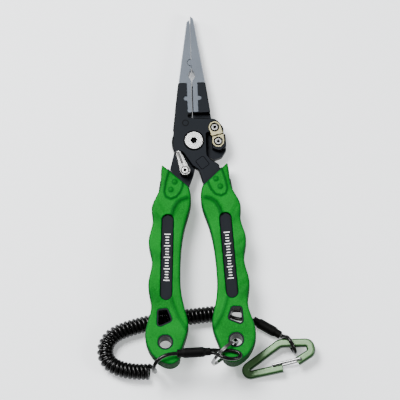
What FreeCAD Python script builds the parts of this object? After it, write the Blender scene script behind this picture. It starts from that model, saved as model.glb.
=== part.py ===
# Long-nose aluminium fishing pliers with rubber grips, a coiled tether and a belt clip,
# laid on a table.
#
# Two frames are used, both in millimetres:
#   tool frame  - origin on the pivot axis at the middle of the head, +X to the right handle,
#                 +Y to the jaw tips, +Z out of the upper face of the pliers;
#   table frame - origin on the table straight under the pivot, +Z up. The jaw tips touch the
#                 table and the handles lie across the coiled tether, so the tool is pitched.
# The written parts are in the table frame, shifted so that the origin is the middle of the
# footprint of the pliers themselves.
import FreeCAD, Part
import math
import os

os.makedirs("parts", exist_ok=True)
V = FreeCAD.Vector

# ---- driving dimensions ---------------------------------------------------------------
CLEAR = 0.3              # gap between pieces of different bodies
RUNNING = 0.05           # radial clearance at pins and shafts

HEAD_HALF = 4.5          # half thickness of the two aluminium frames at the head
LAP_GAP = 0.15           # each lapped plate stands this far off the middle plane
LAP_RADIUS = 14.3        # lapped discs of the head
OPEN_ANGLE = 18.0        # full opening of the handles, degrees
EDGE_BREAK = 0.45        # chamfer on the outer edges of the frames

JAW_TIP_Y = 84.0         # pivot to tip of the longer jaw
JAW_SHOULDER_Y = 38.8    # lower end of the jaws' noses, top of the frames
JAW_TIP_WIDTH = 2.2      # each jaw at the tip
JAW_ROOT_WIDTH = 8.6     # each jaw at the shoulder
JAW_HALF = 3.6           # half thickness of the jaws
JAW_GAP = 0.2            # half the gap between the closed jaws
TONGUE_WIDTH = 3.0       # the tongue that sits in the frame
TONGUE_GAP = 0.45        # half the gap between the tongues
TONGUE_END_Y = 19.3
LUG_Y = 28.6             # side lug of a tongue
LUG_REACH = 5.7
LUG_HALF = 1.6
JAW_FLOOR = 1.2          # frame wall behind the tongues
WALL_EDGE_LEFT = -0.6    # edges of those walls, set so that they leave only a thin slit
WALL_EDGE_RIGHT = -0.2
JAW_SCREW_Y = (23.0, 34.0)
JAW_SCREW_R = 0.8
JAW_SCREW_HEAD_R = 1.25

PIVOT_HEAD_R = 5.9       # hex-socket pivot screw
PIVOT_HEAD_H = 1.6
PIVOT_HEAD_PROUD = 0.8   # above the frame's face
PIVOT_SHANK_R = 2.4
PIVOT_BARREL_R = 4.0     # female half of the pivot
PIVOT_HEX = 4.0          # across flats
WASHER_T = 0.4
THRUST_WASHER_R = 8.5
THRUST_WASHER_T = 0.75

SPRING_WIRE = 1.2        # opening spring
SPRING_R = 5.7
SPRING_LEG_END_Y = -13.2
SPRING_POCKET_R = 6.9
SPRING_POCKET_TOP = 2.1

STOP_PIN_R = 1.9
STOP_PIN_AT = (-5.0, 12.0)

CUTTER_HALF_W = 4.0      # half width of a side-cutter insert
CUTTER_FLOOR = 0.9       # height of its seat above the middle plane
CUTTER_PROUD = 0.15
CUTTER_GAP = 0.3         # between the two blades when closed
CUTTER_SCREW_HEAD_R = 2.35
CUTTER_SCREW_HEAD_H = 1.7
CUTTER_SCREW_R = 1.3
CUTTER_SINK_R = 3.05
UPPER_CUTTER_AT = (13.6, 8.5)
LOWER_CUTTER_AT = (15.6, -0.9)
BLADE_LINE = ((11.3, 2.35), (19.6, 4.25))   # where the two blades meet

LEVER_PIVOT = (-6.3, -20.2)
LEVER_TIP = (-10.1, -8.6)
LEVER_PIVOT_R = 3.6
LEVER_TIP_R = 1.9
LEVER_T = 2.1
LEVER_BOSS_R = 3.3
LEVER_SCREW_HEAD_R = 2.3

TANG_HALF = 3.0          # half thickness of the tangs inside the grips
GRIP_HALF = 6.5          # half thickness of the grips
GRIP_ROUND = 2.0         # rounding of the grips' edges
COLLAR_WALL = 0.9        # frame collars that line the holes through the grips
COLLAR_SINK = 0.25       # collars end this far under the grip's face
PAD_HALF = 5.2           # name panels of the tang, seen through the grips' slots
SLOT_R = 3.85            # slot through the grip over the panel
SLOT_WALL = 0.45         # gap round the panel
SLOT_TOP = (18.4, -52.7)
SLOT_END = (21.0, -101.5)
WINDOW = ((20.8, -111.7), (26.2, -112.0), (26.8, -122.5), (18.3, -118.9))
WINDOW_ROUND = 1.3
HOLE_AT = (22.5, -133.0)
HOLE_R = 4.0

RING_R = 10.6            # split ring, mean radius
RING_RADIAL = 1.3
RING_WIDTH = 2.0
RING_LEAN = (-0.755, -0.656)   # from the hole towards the far side of the ring
RING_REACH = 9.9         # hole centre to ring centre
RING_LIFT = 0.5          # ring centre above the middle plane

CABLE_D = 2.4            # coated cable of the tether
COIL_D = 11.0            # outer diameter of its curly stretch
SEAT_Y = 105.0           # the grips rest on the coil this far behind the pivot
SLEEVE_R = 3.25          # shrink sleeves over the crimps
SLEEVE_END_R = 2.55
SLEEVE_STEP = 4.0        # narrow stretch at each end of a sleeve
SLEEVE_WALL = 0.5
CRIMP_INSET = 5.0

CLIP_BAR_W = 5.4         # belt clip's bar, in its plane
CLIP_BAR_T = 4.8
CLIP_BAR_ROUND = 1.5
CLIP_PIVOT_LIFT = 4.4   # table to the underside of the bar where the tether holds it
CLIP_LEFT_LIFT = 0.25    # the same at its far end, whose rounded edge touches the table
CLIP_GATE_LIFT = 5.1     # table to the underside of the bar at the gate hinge
GATE_WIRE = 1.7
GATE_ANGLE = 16.0

# ---- where the tool lies on the table ---------------------------------------------------
LEVER_ARM = JAW_TIP_Y + SEAT_Y
DEPTH_STEP = GRIP_HALF - JAW_HALF
COIL_RISE = COIL_D + CLEAR
PITCH = (math.asin(COIL_RISE / math.hypot(LEVER_ARM, DEPTH_STEP))
         + math.atan2(DEPTH_STEP, LEVER_ARM))
PIVOT_HEIGHT = JAW_TIP_Y * math.sin(PITCH) + JAW_HALF * math.cos(PITCH)
TO_TABLE = FreeCAD.Placement(V(0, 0, PIVOT_HEIGHT),
                             FreeCAD.Rotation(V(1, 0, 0), -math.degrees(PITCH)))


# ---- small makers -----------------------------------------------------------------------
def rounded_wire(corners):
    """Closed wire through (x, y, radius) corners; radius 0 keeps a corner sharp."""
    count = len(corners)
    edges = []
    ends = []
    for i in range(count):
        before = V(corners[i - 1][0], corners[i - 1][1], 0)
        here = V(corners[i][0], corners[i][1], 0)
        after = V(corners[(i + 1) % count][0], corners[(i + 1) % count][1], 0)
        radius = corners[i][2]
        if radius == 0:
            ends.append((here, here, None))
            continue
        a = (before - here).normalize()
        b = (after - here).normalize()
        half = a.getAngle(b) / 2
        reach = radius / math.tan(half)
        middle = (a + b).normalize()
        top = here + middle * (radius / math.sin(half) - radius)
        ends.append((here + a * reach, here + b * reach, top))
    for i in range(count):
        start, stop, top = ends[i]
        if top is not None:
            edges.append(Part.Arc(start, top, stop).toShape())
        follow = ends[(i + 1) % count][0]
        if (follow - stop).Length > 1e-6:
            edges.append(Part.LineSegment(stop, follow).toShape())
    return Part.Wire(edges)


def plate(corners, low, high):
    """Flat piece with a rounded outline, from height low to height high."""
    face = Part.Face(rounded_wire(corners))
    face.translate(V(0, 0, low))
    return face.extrude(V(0, 0, high - low))


def same(points, radius):
    """Corners that all have one radius."""
    return [(x, y, radius) for x, y in points]


def rod(at, radius, low, high):
    return Part.makeCylinder(radius, high - low, V(at[0], at[1], low))


def stadium(start, stop, radius, low, high):
    """Slot-shaped piece between two end centres."""
    a = V(start[0], start[1], 0)
    b = V(stop[0], stop[1], 0)
    along = (b - a).normalize()
    side = V(-along.y, along.x, 0) * radius
    edges = [Part.LineSegment(a + side, b + side).toShape(),
             Part.Arc(b + side, b + along * radius, b - side).toShape(),
             Part.LineSegment(b - side, a - side).toShape(),
             Part.Arc(a - side, a - along * radius, a + side).toShape()]
    face = Part.Face(Part.Wire(edges))
    face.translate(V(0, 0, low))
    return face.extrude(V(0, 0, high - low))


def hexagon(at, flats, low, high):
    radius = flats / math.sqrt(3)
    corners = [(at[0] + radius * math.cos(math.radians(60 * i)),
                at[1] + radius * math.sin(math.radians(60 * i)), 0) for i in range(6)]
    return plate(corners, low, high)


def mirrored(points):
    return [(-p[0],) + tuple(p[1:]) for p in points]


def rim_edges(shape, heights, top=1e9):
    """Edges that lie flat at one of the heights, below the given Y."""
    found = []
    for edge in shape.Edges:
        box = edge.BoundBox
        if box.ZLength < 1e-6 and any(abs(box.ZMin - h) < 1e-6 for h in heights):
            if box.YMax < top:
                found.append(edge)
    return found


def break_edges(shape, heights, size):
    return shape.makeChamfer(size, rim_edges(shape, heights))


def on_table(shape):
    moved = shape.copy()
    moved.Placement = TO_TABLE.multiply(moved.Placement)
    return moved


# ---- outlines shared by the frames and grips ----------------------------------------------
# Right-hand grip; the left one is its mirror image. The outer side has three finger swells.
GRIP_TOP_OUTER = (20.9, -15.4)
GRIP_TOP_INNER = (4.5, -30.4)
GRIP_OUTER = [(21.6, -19.0), (23.2, -32.0), (28.5, -44.5), (28.0, -51.5), (31.1, -66.0),
              (29.4, -79.0), (32.3, -95.5), (30.8, -108.0), (35.2, -127.5), (31.7, -139.9),
              (23.6, -146.9)]
GRIP_END = [(23.6, -146.9), (18.4, -147.6), (13.6, -144.2)]
GRIP_INNER = [(13.6, -144.2), (9.4, -130.0), (7.5, -122.0), (9.2, -112.0), (11.3, -100.0),
              (11.5, -87.0), (10.2, -70.0), (7.0, -54.5), (3.4, -42.0), (3.3, -35.0),
              (4.5, -30.4)]

# Tang that fills the grip, and the shoulder that joins it to the head.
TANG = [(22.3, -24.0, 2.0), (25.6, -44.5, 6.0), (27.6, -66.0, 20.0), (27.2, -108.0, 20.0),
        (31.2, -126.0, 5.0), (28.6, -138.5, 4.0), (20.0, -143.3, 3.0), (15.6, -139.0, 3.0),
        (11.6, -124.0, 5.0), (14.4, -100.0, 20.0), (13.6, -78.0, 20.0), (7.4, -46.0, 6.0),
        (7.6, -34.5, 2.0), (15.5, -27.0, 0.0)]
COLLAR_UP = 0.6          # the full-thickness shoulder shows this far above the grip


def grip_line_point(share, above=0.0):
    """Point on the grip's top edge, moved off it towards the head."""
    ax, ay = GRIP_TOP_OUTER
    bx, by = GRIP_TOP_INNER
    length = math.hypot(bx - ax, by - ay)
    nx, ny = (by - ay) / length, -(bx - ax) / length
    return (ax + (bx - ax) * share + nx * above, ay + (by - ay) * share + ny * above)


def right_tang():
    """Tang, raised panels, collars, and the full-thickness shoulder under the grip's top."""
    body = plate(TANG, -TANG_HALF, TANG_HALF)
    top = grip_line_point(0.18, COLLAR_UP)
    low = grip_line_point(0.97, COLLAR_UP)
    shoulder = plate([(top[0], top[1], 0.8), (low[0], low[1], 0.8), (low[0] + 1.6, low[1] - 5.0, 0.8),
                      (12.5, -36.0, 1.5), (20.6, -28.0, 1.5)], -HEAD_HALF, HEAD_HALF)
    body = body.fuse(shoulder)
    body = body.fuse(stadium(SLOT_TOP, SLOT_END, SLOT_R - SLOT_WALL, -PAD_HALF, PAD_HALF))
    reach = GRIP_HALF - COLLAR_SINK
    body = body.fuse(plate(same(grown(WINDOW, COLLAR_WALL), WINDOW_ROUND + COLLAR_WALL), -reach, reach))
    body = body.fuse(rod(HOLE_AT, HOLE_R + COLLAR_WALL, -reach, reach))
    body = body.cut(plate(same(WINDOW, WINDOW_ROUND), -GRIP_HALF, GRIP_HALF))
    body = body.cut(rod(HOLE_AT, HOLE_R, -GRIP_HALF, GRIP_HALF))
    return body.removeSplitter()


def grown(points, by):
    """A convex outline moved outwards all round."""
    count = len(points)
    cx = sum(p[0] for p in points) / count
    cy = sum(p[1] for p in points) / count
    lines = []
    for i in range(count):
        x0, y0 = points[i]
        x1, y1 = points[(i + 1) % count]
        length = math.hypot(x1 - x0, y1 - y0)
        nx, ny = (y1 - y0) / length, -(x1 - x0) / length
        if nx * (x0 - cx) + ny * (y0 - cy) < 0:
            nx, ny = -nx, -ny
        lines.append((x0 + nx * by, y0 + ny * by, x1 - x0, y1 - y0))
    result = []
    for i in range(count):
        x0, y0, ax, ay = lines[i - 1]
        x1, y1, bx, by2 = lines[i]
        cross = ax * by2 - ay * bx
        t = ((x1 - x0) * by2 - (y1 - y0) * bx) / cross
        result.append((x0 + ax * t, y0 + ay * t))
    return result


def right_grip(tang):
    """Rubber grip moulded over the tang, with slot, window and hole."""
    def curve(points):
        spline = Part.BSplineCurve()
        spline.interpolate([V(x, y, 0) for x, y in points])
        return spline.toShape()
    top = Part.LineSegment(V(GRIP_TOP_INNER[0], GRIP_TOP_INNER[1], 0),
                           V(GRIP_TOP_OUTER[0], GRIP_TOP_OUTER[1], 0)).toShape()
    outer = curve([GRIP_TOP_OUTER] + GRIP_OUTER)
    face = Part.Face(Part.Wire([top, outer, curve(GRIP_END), curve(GRIP_INNER)]))
    face.translate(V(0, 0, -GRIP_HALF))
    body = face.extrude(V(0, 0, 2 * GRIP_HALF))
    body = body.makeFillet(GRIP_ROUND, rim_edges(body, (-GRIP_HALF, GRIP_HALF)))
    body = body.cut(stadium(SLOT_TOP, SLOT_END, SLOT_R, -GRIP_HALF, GRIP_HALF))
    outline = same(grown(WINDOW, COLLAR_WALL), WINDOW_ROUND + COLLAR_WALL)
    body = body.cut(plate(outline, -GRIP_HALF, GRIP_HALF))
    body = body.cut(rod(HOLE_AT, HOLE_R + COLLAR_WALL, -GRIP_HALF, GRIP_HALF))
    return body.cut(tang)


# ---- frames -----------------------------------------------------------------------------
def jaw_pocket(side):
    """Room for a jaw's tongue and lug in a frame; side is -1 for the left jaw, 1 for the right."""
    inner = TONGUE_GAP + TONGUE_WIDTH
    tongue = plate([(side * -1.0, TONGUE_END_Y - 0.1, 0), (side * inner, TONGUE_END_Y - 0.1, 0),
                    (side * inner, JAW_SHOULDER_Y + 1, 0), (side * -1.0, JAW_SHOULDER_Y + 1, 0)],
                   JAW_FLOOR - HEAD_HALF, HEAD_HALF)
    lug = stadium((0, LUG_Y), (side * (LUG_REACH - LUG_HALF), LUG_Y), LUG_HALF,
                  JAW_FLOOR - HEAD_HALF, HEAD_HALF)
    return tongue.fuse(lug)


def jaw_screw_holes(side, radius, low, high):
    x = side * (TONGUE_GAP + TONGUE_WIDTH / 2)
    return [rod((x, y), radius, low, high) for y in JAW_SCREW_Y]


def upper_frame(tang):
    """Frame that lies on top: left jaw, front plate of the head, upper cutter, right handle."""
    left = [(-TONGUE_GAP + 0.1, JAW_SHOULDER_Y, 0.0), (-8.9, JAW_SHOULDER_Y, 0.8),
            (-11.3, 22.0, 40.0), (-13.0, 6.0, 20.0)]
    front = plate(left + [(-13.9, -4.0, 4.0), (-12.6, -7.6, 1.2), (-7.6, -7.0, 1.5), (-1.6, -16.4, 3.0),
                          (2.4, -19.6, 3.0), (5.6, -31.0, 0.0), (16.5, -20.5, 0.0), (15.5, -16.2, 2.0),
                          (10.2, -12.4, 2.5), (8.1, -9.6, 2.0), (8.1, 5.2, 1.2), (19.0, 4.4, 1.5),
                          (19.6, 8.0, 5.0), (14.6, 14.2, 5.5), (0.2, 15.2, 1.2), (-TONGUE_GAP + 0.1, 17.0, 0.0)],
                  LAP_GAP, HEAD_HALF)
    back = plate([(WALL_EDGE_LEFT, JAW_SHOULDER_Y, 0.0)] + left[1:3]
                 + [(-13.2, 9.0, 0.0), (-9.8, 11.9, 0.0), (-6.6, 14.6, 0.0), (WALL_EDGE_LEFT, 16.3, 0.0)],
                 -HEAD_HALF, LAP_GAP)
    body = front.fuse(back)
    body = break_edges(body.removeSplitter(), (HEAD_HALF, -HEAD_HALF), EDGE_BREAK)
    body = body.fuse(tang)
    body = body.cut(jaw_pocket(-1))
    body = body.cut(plate([(-TONGUE_GAP - TONGUE_WIDTH, 15.4, 1.3), (2.0, 14.9, 0), (2.0, 19.8, 0),
                           (-TONGUE_GAP - TONGUE_WIDTH, 19.8, 0)], -1.5, HEAD_HALF + 1))
    body = body.cut(Part.Compound(jaw_screw_holes(-1, JAW_SCREW_R + RUNNING, -HEAD_HALF, 0)))
    body = body.cut(rod((0, 0), PIVOT_BARREL_R + RUNNING, -HEAD_HALF, HEAD_HALF))
    body = body.cut(rod((0, 0), PIVOT_HEAD_R + 0.7, HEAD_HALF + PIVOT_HEAD_PROUD - PIVOT_HEAD_H - WASHER_T,
                        HEAD_HALF + 1))
    body = body.cut(rod((0, 0), SPRING_POCKET_R, 0, SPRING_POCKET_TOP))
    body = body.cut(spring_pocket())
    body = body.cut(rod(STOP_PIN_AT, STOP_PIN_R, -1, HEAD_HALF + 1))
    body = body.cut(upper_cutter_body().fuse(rod(UPPER_CUTTER_AT, CUTTER_SCREW_R, LAP_GAP - 1, 2)))
    body = body.cut(cover_plate_body())
    return body.removeSplitter()


def lower_frame(tang):
    """Frame beneath: right jaw, rear plate of the head, lower cutter, left handle."""
    right = [(TONGUE_GAP - 0.1, JAW_SHOULDER_Y, 0.0), (8.7, JAW_SHOULDER_Y, 0.8), (11.2, 19.5, 0.0)]
    top = plate([right[0], right[1], (11.3, 18.3, 1.0), (TONGUE_GAP - 0.1, 18.3, 0.0)], -LAP_GAP, HEAD_HALF)
    disc = rod((0, 0), LAP_RADIUS, -HEAD_HALF, -LAP_GAP)
    neck = plate([(WALL_EDGE_RIGHT, JAW_SHOULDER_Y, 0.0), right[1], (11.7, 14.8, 1.0), (WALL_EDGE_RIGHT, 5.0, 0.0)],
                 -HEAD_HALF, -LAP_GAP)
    ear = plate([(9.0, 4.6, 0.0), (20.0, 2.4, 1.0), (20.5, -5.6, 3.0), (17.4, -10.4, 3.0),
                 (12.6, -12.0, 1.0), (6.0, -8.0, 0.0)], -HEAD_HALF, -LAP_GAP)
    ear_top = plate([(11.4, 2.1, 0.0), (20.3, 4.0, 0.6), (20.7, -4.2, 2.5), (16.6, -7.6, 2.5),
                     (11.6, -5.6, 1.2)], -LAP_GAP, HEAD_HALF)
    shoulder = plate([(-12.9, -6.0, 1.0), (-15.9, -17.4, 0.6), (-4.6, -30.6, 0.0), (-1.0, -21.4, 3.0),
                      (0.8, -14.0, 0.0), (-6.0, -4.0, 0.0)], -HEAD_HALF, -LAP_GAP)
    rear = disc.fuse([neck, ear, shoulder]).removeSplitter()
    body = rear.fuse([top, ear_top]).removeSplitter()
    body = break_edges(body, (HEAD_HALF, -HEAD_HALF), EDGE_BREAK)
    boss = rod(LEVER_PIVOT, LEVER_BOSS_R, -LAP_GAP - 1, HEAD_HALF + CLEAR / 2)
    body = body.fuse([tang.mirror(V(0, 0, 0), V(1, 0, 0)), boss])
    body = body.cut(jaw_pocket(1))
    body = body.cut(Part.Compound(jaw_screw_holes(1, JAW_SCREW_R + RUNNING, -HEAD_HALF, 0)))
    body = body.cut(rod((0, 0), PIVOT_BARREL_R + RUNNING, -HEAD_HALF, HEAD_HALF))
    body = body.cut(rod((0, 0), PIVOT_HEAD_R + 0.7, -HEAD_HALF - 1,
                        -HEAD_HALF - PIVOT_HEAD_PROUD + PIVOT_HEAD_H + WASHER_T))
    body = body.cut(rod((0, 0), THRUST_WASHER_R + 0.2, LAP_GAP - RUNNING - THRUST_WASHER_T, 0))
    body = body.cut(stop_slot())
    body = body.cut(lower_cutter_body().fuse(rod(LOWER_CUTTER_AT, CUTTER_SCREW_R, -HEAD_HALF, 2)))
    body = body.cut(rod(spring_pin_at(), SPRING_PIN_R, -HEAD_HALF, 0))
    body = body.cut(rod(LEVER_PIVOT, 1.25, -HEAD_HALF - 1, HEAD_HALF + 1))
    return body.removeSplitter()


def stop_slot():
    """Arc slot in the rear plate that the stop pin runs in while the handles open."""
    radius = math.hypot(*STOP_PIN_AT)
    start = math.degrees(math.atan2(STOP_PIN_AT[1], STOP_PIN_AT[0]))
    inner = radius - STOP_PIN_R - CLEAR
    outer = radius + STOP_PIN_R + CLEAR
    sweep = OPEN_ANGLE + 1.5
    ring = Part.makeCylinder(outer, 3.6, V(0, 0, -3.6), V(0, 0, 1), sweep)
    ring = ring.cut(rod((0, 0), inner, -4, 1))
    ring.rotate(V(0, 0, 0), V(0, 0, 1), start)
    ends = []
    for angle in (start, start + sweep):
        at = (radius * math.cos(math.radians(angle)), radius * math.sin(math.radians(angle)))
        ends.append(rod(at, STOP_PIN_R + CLEAR, -3.6, 0))
    return ring.fuse(ends)


# ---- jaws and cutters ---------------------------------------------------------------------
def jaw(side, tip_y):
    """Steel jaw insert: tapered nose, tongue with a side lug, and the crimping notch."""
    inner = side * JAW_GAP
    root = side * (JAW_ROOT_WIDTH + 0.1)
    nose = plate([(inner, JAW_SHOULDER_Y, 0), (root, JAW_SHOULDER_Y, 0.9),
                  (side * JAW_TIP_WIDTH, tip_y - 1.6, 0.9), (inner, tip_y, 0)], -JAW_HALF, JAW_HALF)
    nose = nose.makeChamfer(0.4, [e for e in rim_edges(nose, (-JAW_HALF, JAW_HALF))
                                  if abs(e.CenterOfMass.x) > 1.0 and e.Length > 20])
    tongue = plate([(side * TONGUE_GAP, TONGUE_END_Y, 0), (side * (TONGUE_GAP + TONGUE_WIDTH), TONGUE_END_Y, 0),
                    (side * (TONGUE_GAP + TONGUE_WIDTH), JAW_SHOULDER_Y + 2, 0),
                    (side * TONGUE_GAP, JAW_SHOULDER_Y + 2, 0)], JAW_FLOOR - HEAD_HALF, JAW_HALF)
    lug = stadium((side * 2.0, LUG_Y), (side * (LUG_REACH - LUG_HALF), LUG_Y), LUG_HALF,
                  JAW_FLOOR - HEAD_HALF, JAW_HALF)
    body = nose.fuse([tongue, lug]).removeSplitter()
    notch = plate([(-2.3 * side, 43.2, 0), (0, 39.8, 0), (2.3 * side, 43.2, 0), (2.1 * side, 45.0, 0),
                   (0.6 * side, 48.0, 0), (-0.6 * side, 48.0, 0), (-2.1 * side, 45.0, 0)],
                  -JAW_HALF - 1, JAW_HALF + 1)
    body = body.cut(notch)
    return body.cut(Part.Compound(jaw_screw_holes(side, JAW_SCREW_R, -HEAD_HALF, -1.0)))


CRIMP_TOOTH_Y = 52.6
CRIMP_TOOTH_R = 1.9
CRIMP_TOOTH_AT = -0.4    # centre of the tooth, across the jaws


def left_jaw():
    """Jaw with the crimping seat."""
    seat = rod((CRIMP_TOOTH_AT, CRIMP_TOOTH_Y), CRIMP_TOOTH_R + 2 * JAW_GAP, -JAW_HALF - 1, JAW_HALF + 1)
    return jaw(-1, JAW_TIP_Y - 2.4).cut(seat)


def right_jaw():
    """Jaw with the crimping tooth; it is the longer one."""
    tooth = rod((CRIMP_TOOTH_AT, CRIMP_TOOTH_Y), CRIMP_TOOTH_R, -JAW_HALF, JAW_HALF)
    return jaw(1, JAW_TIP_Y).fuse(tooth).removeSplitter()


def jaw_screws(side):
    """Two screws from the rear that hold a jaw's tongue."""
    solids = []
    for shank in jaw_screw_holes(side, JAW_SCREW_R, -HEAD_HALF, -1.0):
        at = shank.CenterOfMass
        head = rod((at.x, at.y), JAW_SCREW_HEAD_R, -HEAD_HALF - 0.8, -HEAD_HALF)
        socket = hexagon((at.x, at.y), 1.3, -HEAD_HALF - 0.8, -HEAD_HALF - 0.2)
        solids.append(shank.fuse(head).removeSplitter().cut(socket))
    return Part.Compound(solids)


def blade_point(share, off):
    """Point on the blades' meeting line, moved off it; positive is towards the jaws."""
    (ax, ay), (bx, by) = BLADE_LINE
    length = math.hypot(bx - ax, by - ay)
    nx, ny = -(by - ay) / length, (bx - ax) / length
    return (ax + (bx - ax) * share + nx * off, ay + (by - ay) * share + ny * off)


def tangent_point(at, radius, far, side):
    """Where the line from a far point touches a circle; side picks one of the two."""
    dx, dy = far[0] - at[0], far[1] - at[1]
    angle = math.atan2(dy, dx) + side * math.acos(radius / math.hypot(dx, dy))
    return V(at[0] + radius * math.cos(angle), at[1] + radius * math.sin(angle), 0)


def insert_body(at, first, second):
    """Insert with a straight blade edge from first to second and a round far end."""
    a = V(first[0], first[1], 0)
    b = V(second[0], second[1], 0)
    centre = V(at[0], at[1], 0)
    away = (centre - (a + b) / 2).normalize()
    side = 1 if (b - a).cross(away).z > 0 else -1
    from_b = tangent_point(at, CUTTER_HALF_W, second, side)
    from_a = tangent_point(at, CUTTER_HALF_W, first, -side)
    wire = Part.Wire([Part.LineSegment(a, b).toShape(), Part.LineSegment(b, from_b).toShape(),
                      Part.Arc(from_b, centre + away * CUTTER_HALF_W, from_a).toShape(),
                      Part.LineSegment(from_a, a).toShape()])
    face = Part.Face(wire)
    face.translate(V(0, 0, CUTTER_FLOOR))
    return face.extrude(V(0, 0, HEAD_HALF + CUTTER_PROUD - CUTTER_FLOOR))


def upper_cutter_body():
    """Insert of the upper cutter, round end towards the jaws."""
    return insert_body(UPPER_CUTTER_AT, blade_point(0.0, CUTTER_GAP / 2), blade_point(0.92, CUTTER_GAP / 2))


def lower_cutter_body():
    """Insert of the lower cutter, round end towards the handle."""
    return insert_body(LOWER_CUTTER_AT, blade_point(0.98, -CUTTER_GAP / 2), blade_point(0.06, -CUTTER_GAP / 2))


def cutter(body, at):
    """Finished insert: broken edge, screw hole and sunk seat for the screw head."""
    high = HEAD_HALF + CUTTER_PROUD
    body = break_edges(body, (high,), 0.3)
    body = body.cut(rod(at, CUTTER_SINK_R, high - CUTTER_SCREW_HEAD_H, high + 1))
    return body.cut(rod(at, CUTTER_SCREW_R + RUNNING, CUTTER_FLOOR, high))


def cutter_screw(at, low):
    high = HEAD_HALF + CUTTER_PROUD
    head = rod(at, CUTTER_SCREW_HEAD_R, high - CUTTER_SCREW_HEAD_H, high)
    head = head.makeChamfer(0.4, rim_edges(head, (high,)))
    body = head.fuse(rod(at, CUTTER_SCREW_R, low, high - CUTTER_SCREW_HEAD_H)).removeSplitter()
    return body.cut(hexagon(at, 2.0, high - 1.2, high + 1))


# ---- pivot, spring, stop ------------------------------------------------------------------
def pivot_screw():
    top = HEAD_HALF + PIVOT_HEAD_PROUD
    head = rod((0, 0), PIVOT_HEAD_R, top - PIVOT_HEAD_H, top)
    head = head.makeChamfer(0.35, rim_edges(head, (top,)))
    body = head.fuse(rod((0, 0), PIVOT_SHANK_R, -HEAD_HALF + 1.2, top - PIVOT_HEAD_H)).removeSplitter()
    return body.cut(hexagon((0, 0), PIVOT_HEX, top - 2.6, top + 1))


def pivot_nut():
    """Flanged barrel from the rear; the screw threads into it and both frames turn on it."""
    low = -HEAD_HALF - PIVOT_HEAD_PROUD
    flange = rod((0, 0), PIVOT_HEAD_R, low, low + PIVOT_HEAD_H)
    flange = flange.makeChamfer(0.35, rim_edges(flange, (low,)))
    barrel_top = HEAD_HALF + PIVOT_HEAD_PROUD - PIVOT_HEAD_H - WASHER_T
    body = flange.fuse(rod((0, 0), PIVOT_BARREL_R, low + PIVOT_HEAD_H, barrel_top)).removeSplitter()
    body = body.cut(rod((0, 0), PIVOT_SHANK_R + RUNNING, -HEAD_HALF + 1.0, barrel_top + 1))
    return body.cut(hexagon((0, 0), PIVOT_HEX, low - 1, low + 1.3))


def washer(inner, outer, low, high):
    return rod((0, 0), outer, low, high).cut(rod((0, 0), inner, low - 1, high + 1))


SPRING_LEG_X = 3.0       # each leg of the spring leaves the ring here
SPRING_PIN_R = 0.9
SPRING_LEG_SPREAD = 3.9
SPRING_FREE_END = (-0.6, -11.8)


def spring_path():
    """Open ring round the pivot with two legs that point to the handles."""
    level = SPRING_POCKET_TOP - CLEAR - SPRING_WIRE / 2
    drop = -math.sqrt(SPRING_R ** 2 - SPRING_LEG_X ** 2)
    left = V(-SPRING_LEG_X, drop, level)
    right = V(SPRING_LEG_X, drop, level)
    end_left = V(SPRING_FREE_END[0], SPRING_FREE_END[1], level)
    end_right = V(SPRING_LEG_SPREAD, SPRING_LEG_END_Y, level)
    return [Part.LineSegment(end_left, left).toShape(),
            Part.Arc(left, V(0, SPRING_R, level), right).toShape(),
            Part.LineSegment(right, end_right).toShape()]


def opening_spring():
    """Wire spring, swept piece by piece with round joints at its two bends."""
    level = SPRING_POCKET_TOP - CLEAR - SPRING_WIRE / 2
    left_leg, ring, right_leg = spring_path()
    solids = []
    for leg in (left_leg, right_leg):
        start = leg.Vertexes[0].Point
        stop = leg.Vertexes[1].Point
        solids.append(Part.makeCylinder(SPRING_WIRE / 2, (stop - start).Length, start, stop - start))
    for x in (-SPRING_LEG_X, SPRING_LEG_X):
        solids.append(Part.makeSphere(SPRING_WIRE / 2, V(x, ring.Vertexes[0].Point.y, level)))
    gap = 2 * math.degrees(math.asin(SPRING_LEG_X / SPRING_R))
    torus = Part.makeTorus(SPRING_R, SPRING_WIRE / 2, V(0, 0, level), V(0, 0, 1), 0, 360, 360 - gap)
    torus.rotate(V(0, 0, 0), V(0, 0, 1), -90 + gap / 2)
    return torus.fuse(solids).removeSplitter()


def spring_pocket():
    """Milled room for the spring's legs and for the travel of the spring pin."""
    corners = [(-3.9, -3.0), (-7.6, -8.2), (-6.2, -10.9), (-3.0, -12.3), (-0.2, -13.2),
               (5.3, SPRING_LEG_END_Y - 1.2), (4.2, -3.0)]
    return plate(same(corners, 0), 0, SPRING_POCKET_TOP)


def spring_pin_at():
    """Centre of the pin, three quarters along the free leg and just outside it."""
    drop = -math.sqrt(SPRING_R ** 2 - SPRING_LEG_X ** 2)
    start = V(-SPRING_LEG_X, drop, 0)
    leg = V(SPRING_FREE_END[0], SPRING_FREE_END[1], 0) - start
    out = V(leg.y, -leg.x, 0).normalize() * (SPRING_WIRE / 2 + SPRING_PIN_R + 2 * RUNNING)
    at = start + leg * 0.75 + out
    return (at.x, at.y)


def spring_pin():
    """Pin in the rear plate that the spring's left leg pushes."""
    return rod(spring_pin_at(), SPRING_PIN_R, -HEAD_HALF + 1.0, SPRING_POCKET_TOP - CLEAR)


def stop_pin():
    return rod(STOP_PIN_AT, STOP_PIN_R, -3.6 + CLEAR, HEAD_HALF)


COVER_AT = (5.0, -14.9)
COVER_TURN = 35.0
COVER_SIZE = (6.4, 7.4)
COVER_T = 1.0


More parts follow.
